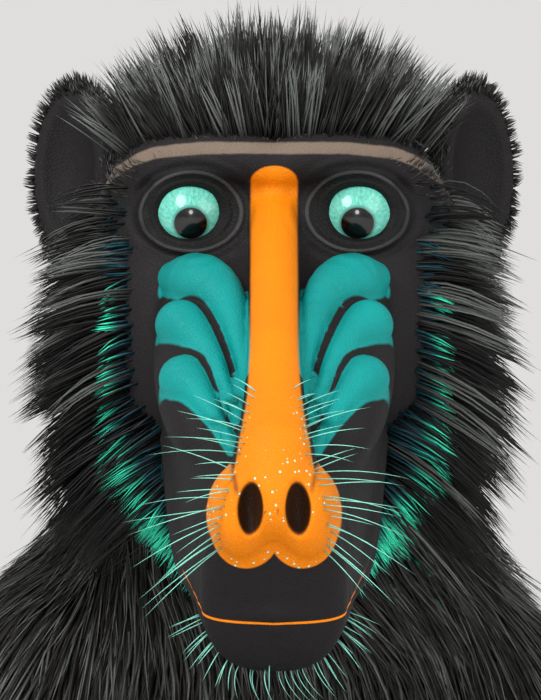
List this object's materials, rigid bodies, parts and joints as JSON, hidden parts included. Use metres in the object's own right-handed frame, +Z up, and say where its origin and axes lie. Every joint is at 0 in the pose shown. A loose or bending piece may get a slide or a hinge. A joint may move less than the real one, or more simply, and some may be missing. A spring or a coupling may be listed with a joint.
{
  "type": "sitting adult male mandrill, still life-size model",
  "caption": "Still life-size adult male mandrill sitting upright on its seat pads, hands on the floor between splayed knees, head turned to its right, with crest, ruff and ridged muzzle.",
  "frame": {"origin": "middle of the bounding box in plan, at the floor", "axes": "+Z up, the body faces -Y, the animal's left is +X"},
  "size_m": [0.4516, 0.5348, 0.6702],
  "materials": {
    "coat": "black fur with grey ticking",
    "face_skin": "charcoal skin with teal ridges and an orange bridge",
    "jaw_skin": "charcoal skin with pale bristles",
    "ear_skin": "matt black skin",
    "hand_skin": "matt black skin",
    "eye": "wet, teal iris and black pupil",
    "seat_pad": "smooth bare skin"
  },
  "bodies": {
    "root": {"head": "face_skin", "jaw": "jaw_skin", "eye_left": "eye", "eye_right": "eye", "ear_left": "ear_skin", "ear_right": "ear_skin", "neck": "coat", "torso": "coat", "upper_arm_left": "coat", "upper_arm_right": "coat", "forearm_left": "coat", "forearm_right": "coat", "hand_left": "hand_skin", "hand_right": "hand_skin", "thigh_left": "coat", "thigh_right": "coat", "shank_left": "coat", "shank_right": "coat", "foot_left": "hand_skin", "foot_right": "hand_skin", "tail": "coat", "seat_pad_left": "seat_pad", "seat_pad_right": "seat_pad"}
  },
  "joints": []
}
